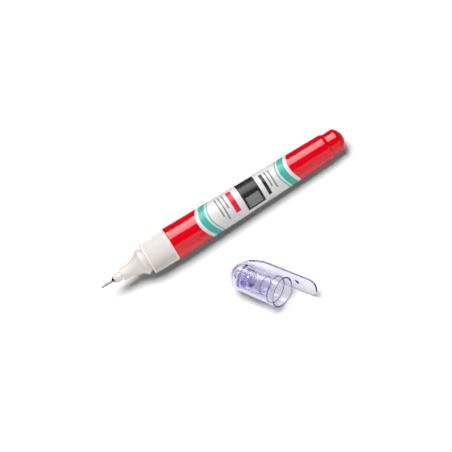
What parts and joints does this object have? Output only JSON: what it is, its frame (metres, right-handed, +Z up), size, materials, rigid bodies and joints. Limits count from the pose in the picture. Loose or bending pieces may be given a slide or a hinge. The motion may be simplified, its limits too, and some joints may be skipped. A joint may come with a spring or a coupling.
{
  "type": "correction pen",
  "caption": "Squeeze correction pen with tapered barrel, ribbed collar and fine steel needle, its clear clip cap lying beside it; sprung valve pin and mixing ball inside.",
  "frame": {"origin": "on the table, under the middle of the pen and its cap as they lie", "axes": "+X along the pen from the needle towards the tail, +Y from the cap towards the pen, +Z up"},
  "size_m": [0.113, 0.0614, 0.014],
  "materials": {
    "red_plastic": "glossy moulded",
    "label_film": "printed film",
    "collar_plastic": "satin, ribbed",
    "white_plastic": "satin",
    "steel": "drawn and ground",
    "clear_plastic": "clear, tinted"
  },
  "bodies": {
    "pen": {"barrel": "red_plastic", "label": "label_film", "grip_collar": "collar_plastic", "nose_cone": "white_plastic", "tip_holder": "white_plastic", "needle_tip": "steel", "spring_seat": "white_plastic", "valve_spring": "steel"},
    "valve": {"valve_pin": "steel"},
    "ball": {"mixing_ball": "steel"},
    "cap": {"cap_shell": "clear_plastic", "inner_cap": "clear_plastic"}
  },
  "joints": [
    {"name": "valve_press", "type": "slide", "parent": "pen", "child": "valve", "axis": [0.9998, 0, -0.0201], "range_m": [0, 0.0005], "stiffness_N_per_m": 300, "deforming": ["valve_spring"]},
    {"name": "ball_run", "type": "slide", "parent": "pen", "child": "ball", "axis": [1, 0, 0], "range_m": [-0.0471, 0.0112]},
    {"name": "cap_slide", "type": "slide", "parent": "pen", "child": "cap", "axis": [0.4695, -0.8829, 0], "range_m": [0, 0.025]}
  ]
}
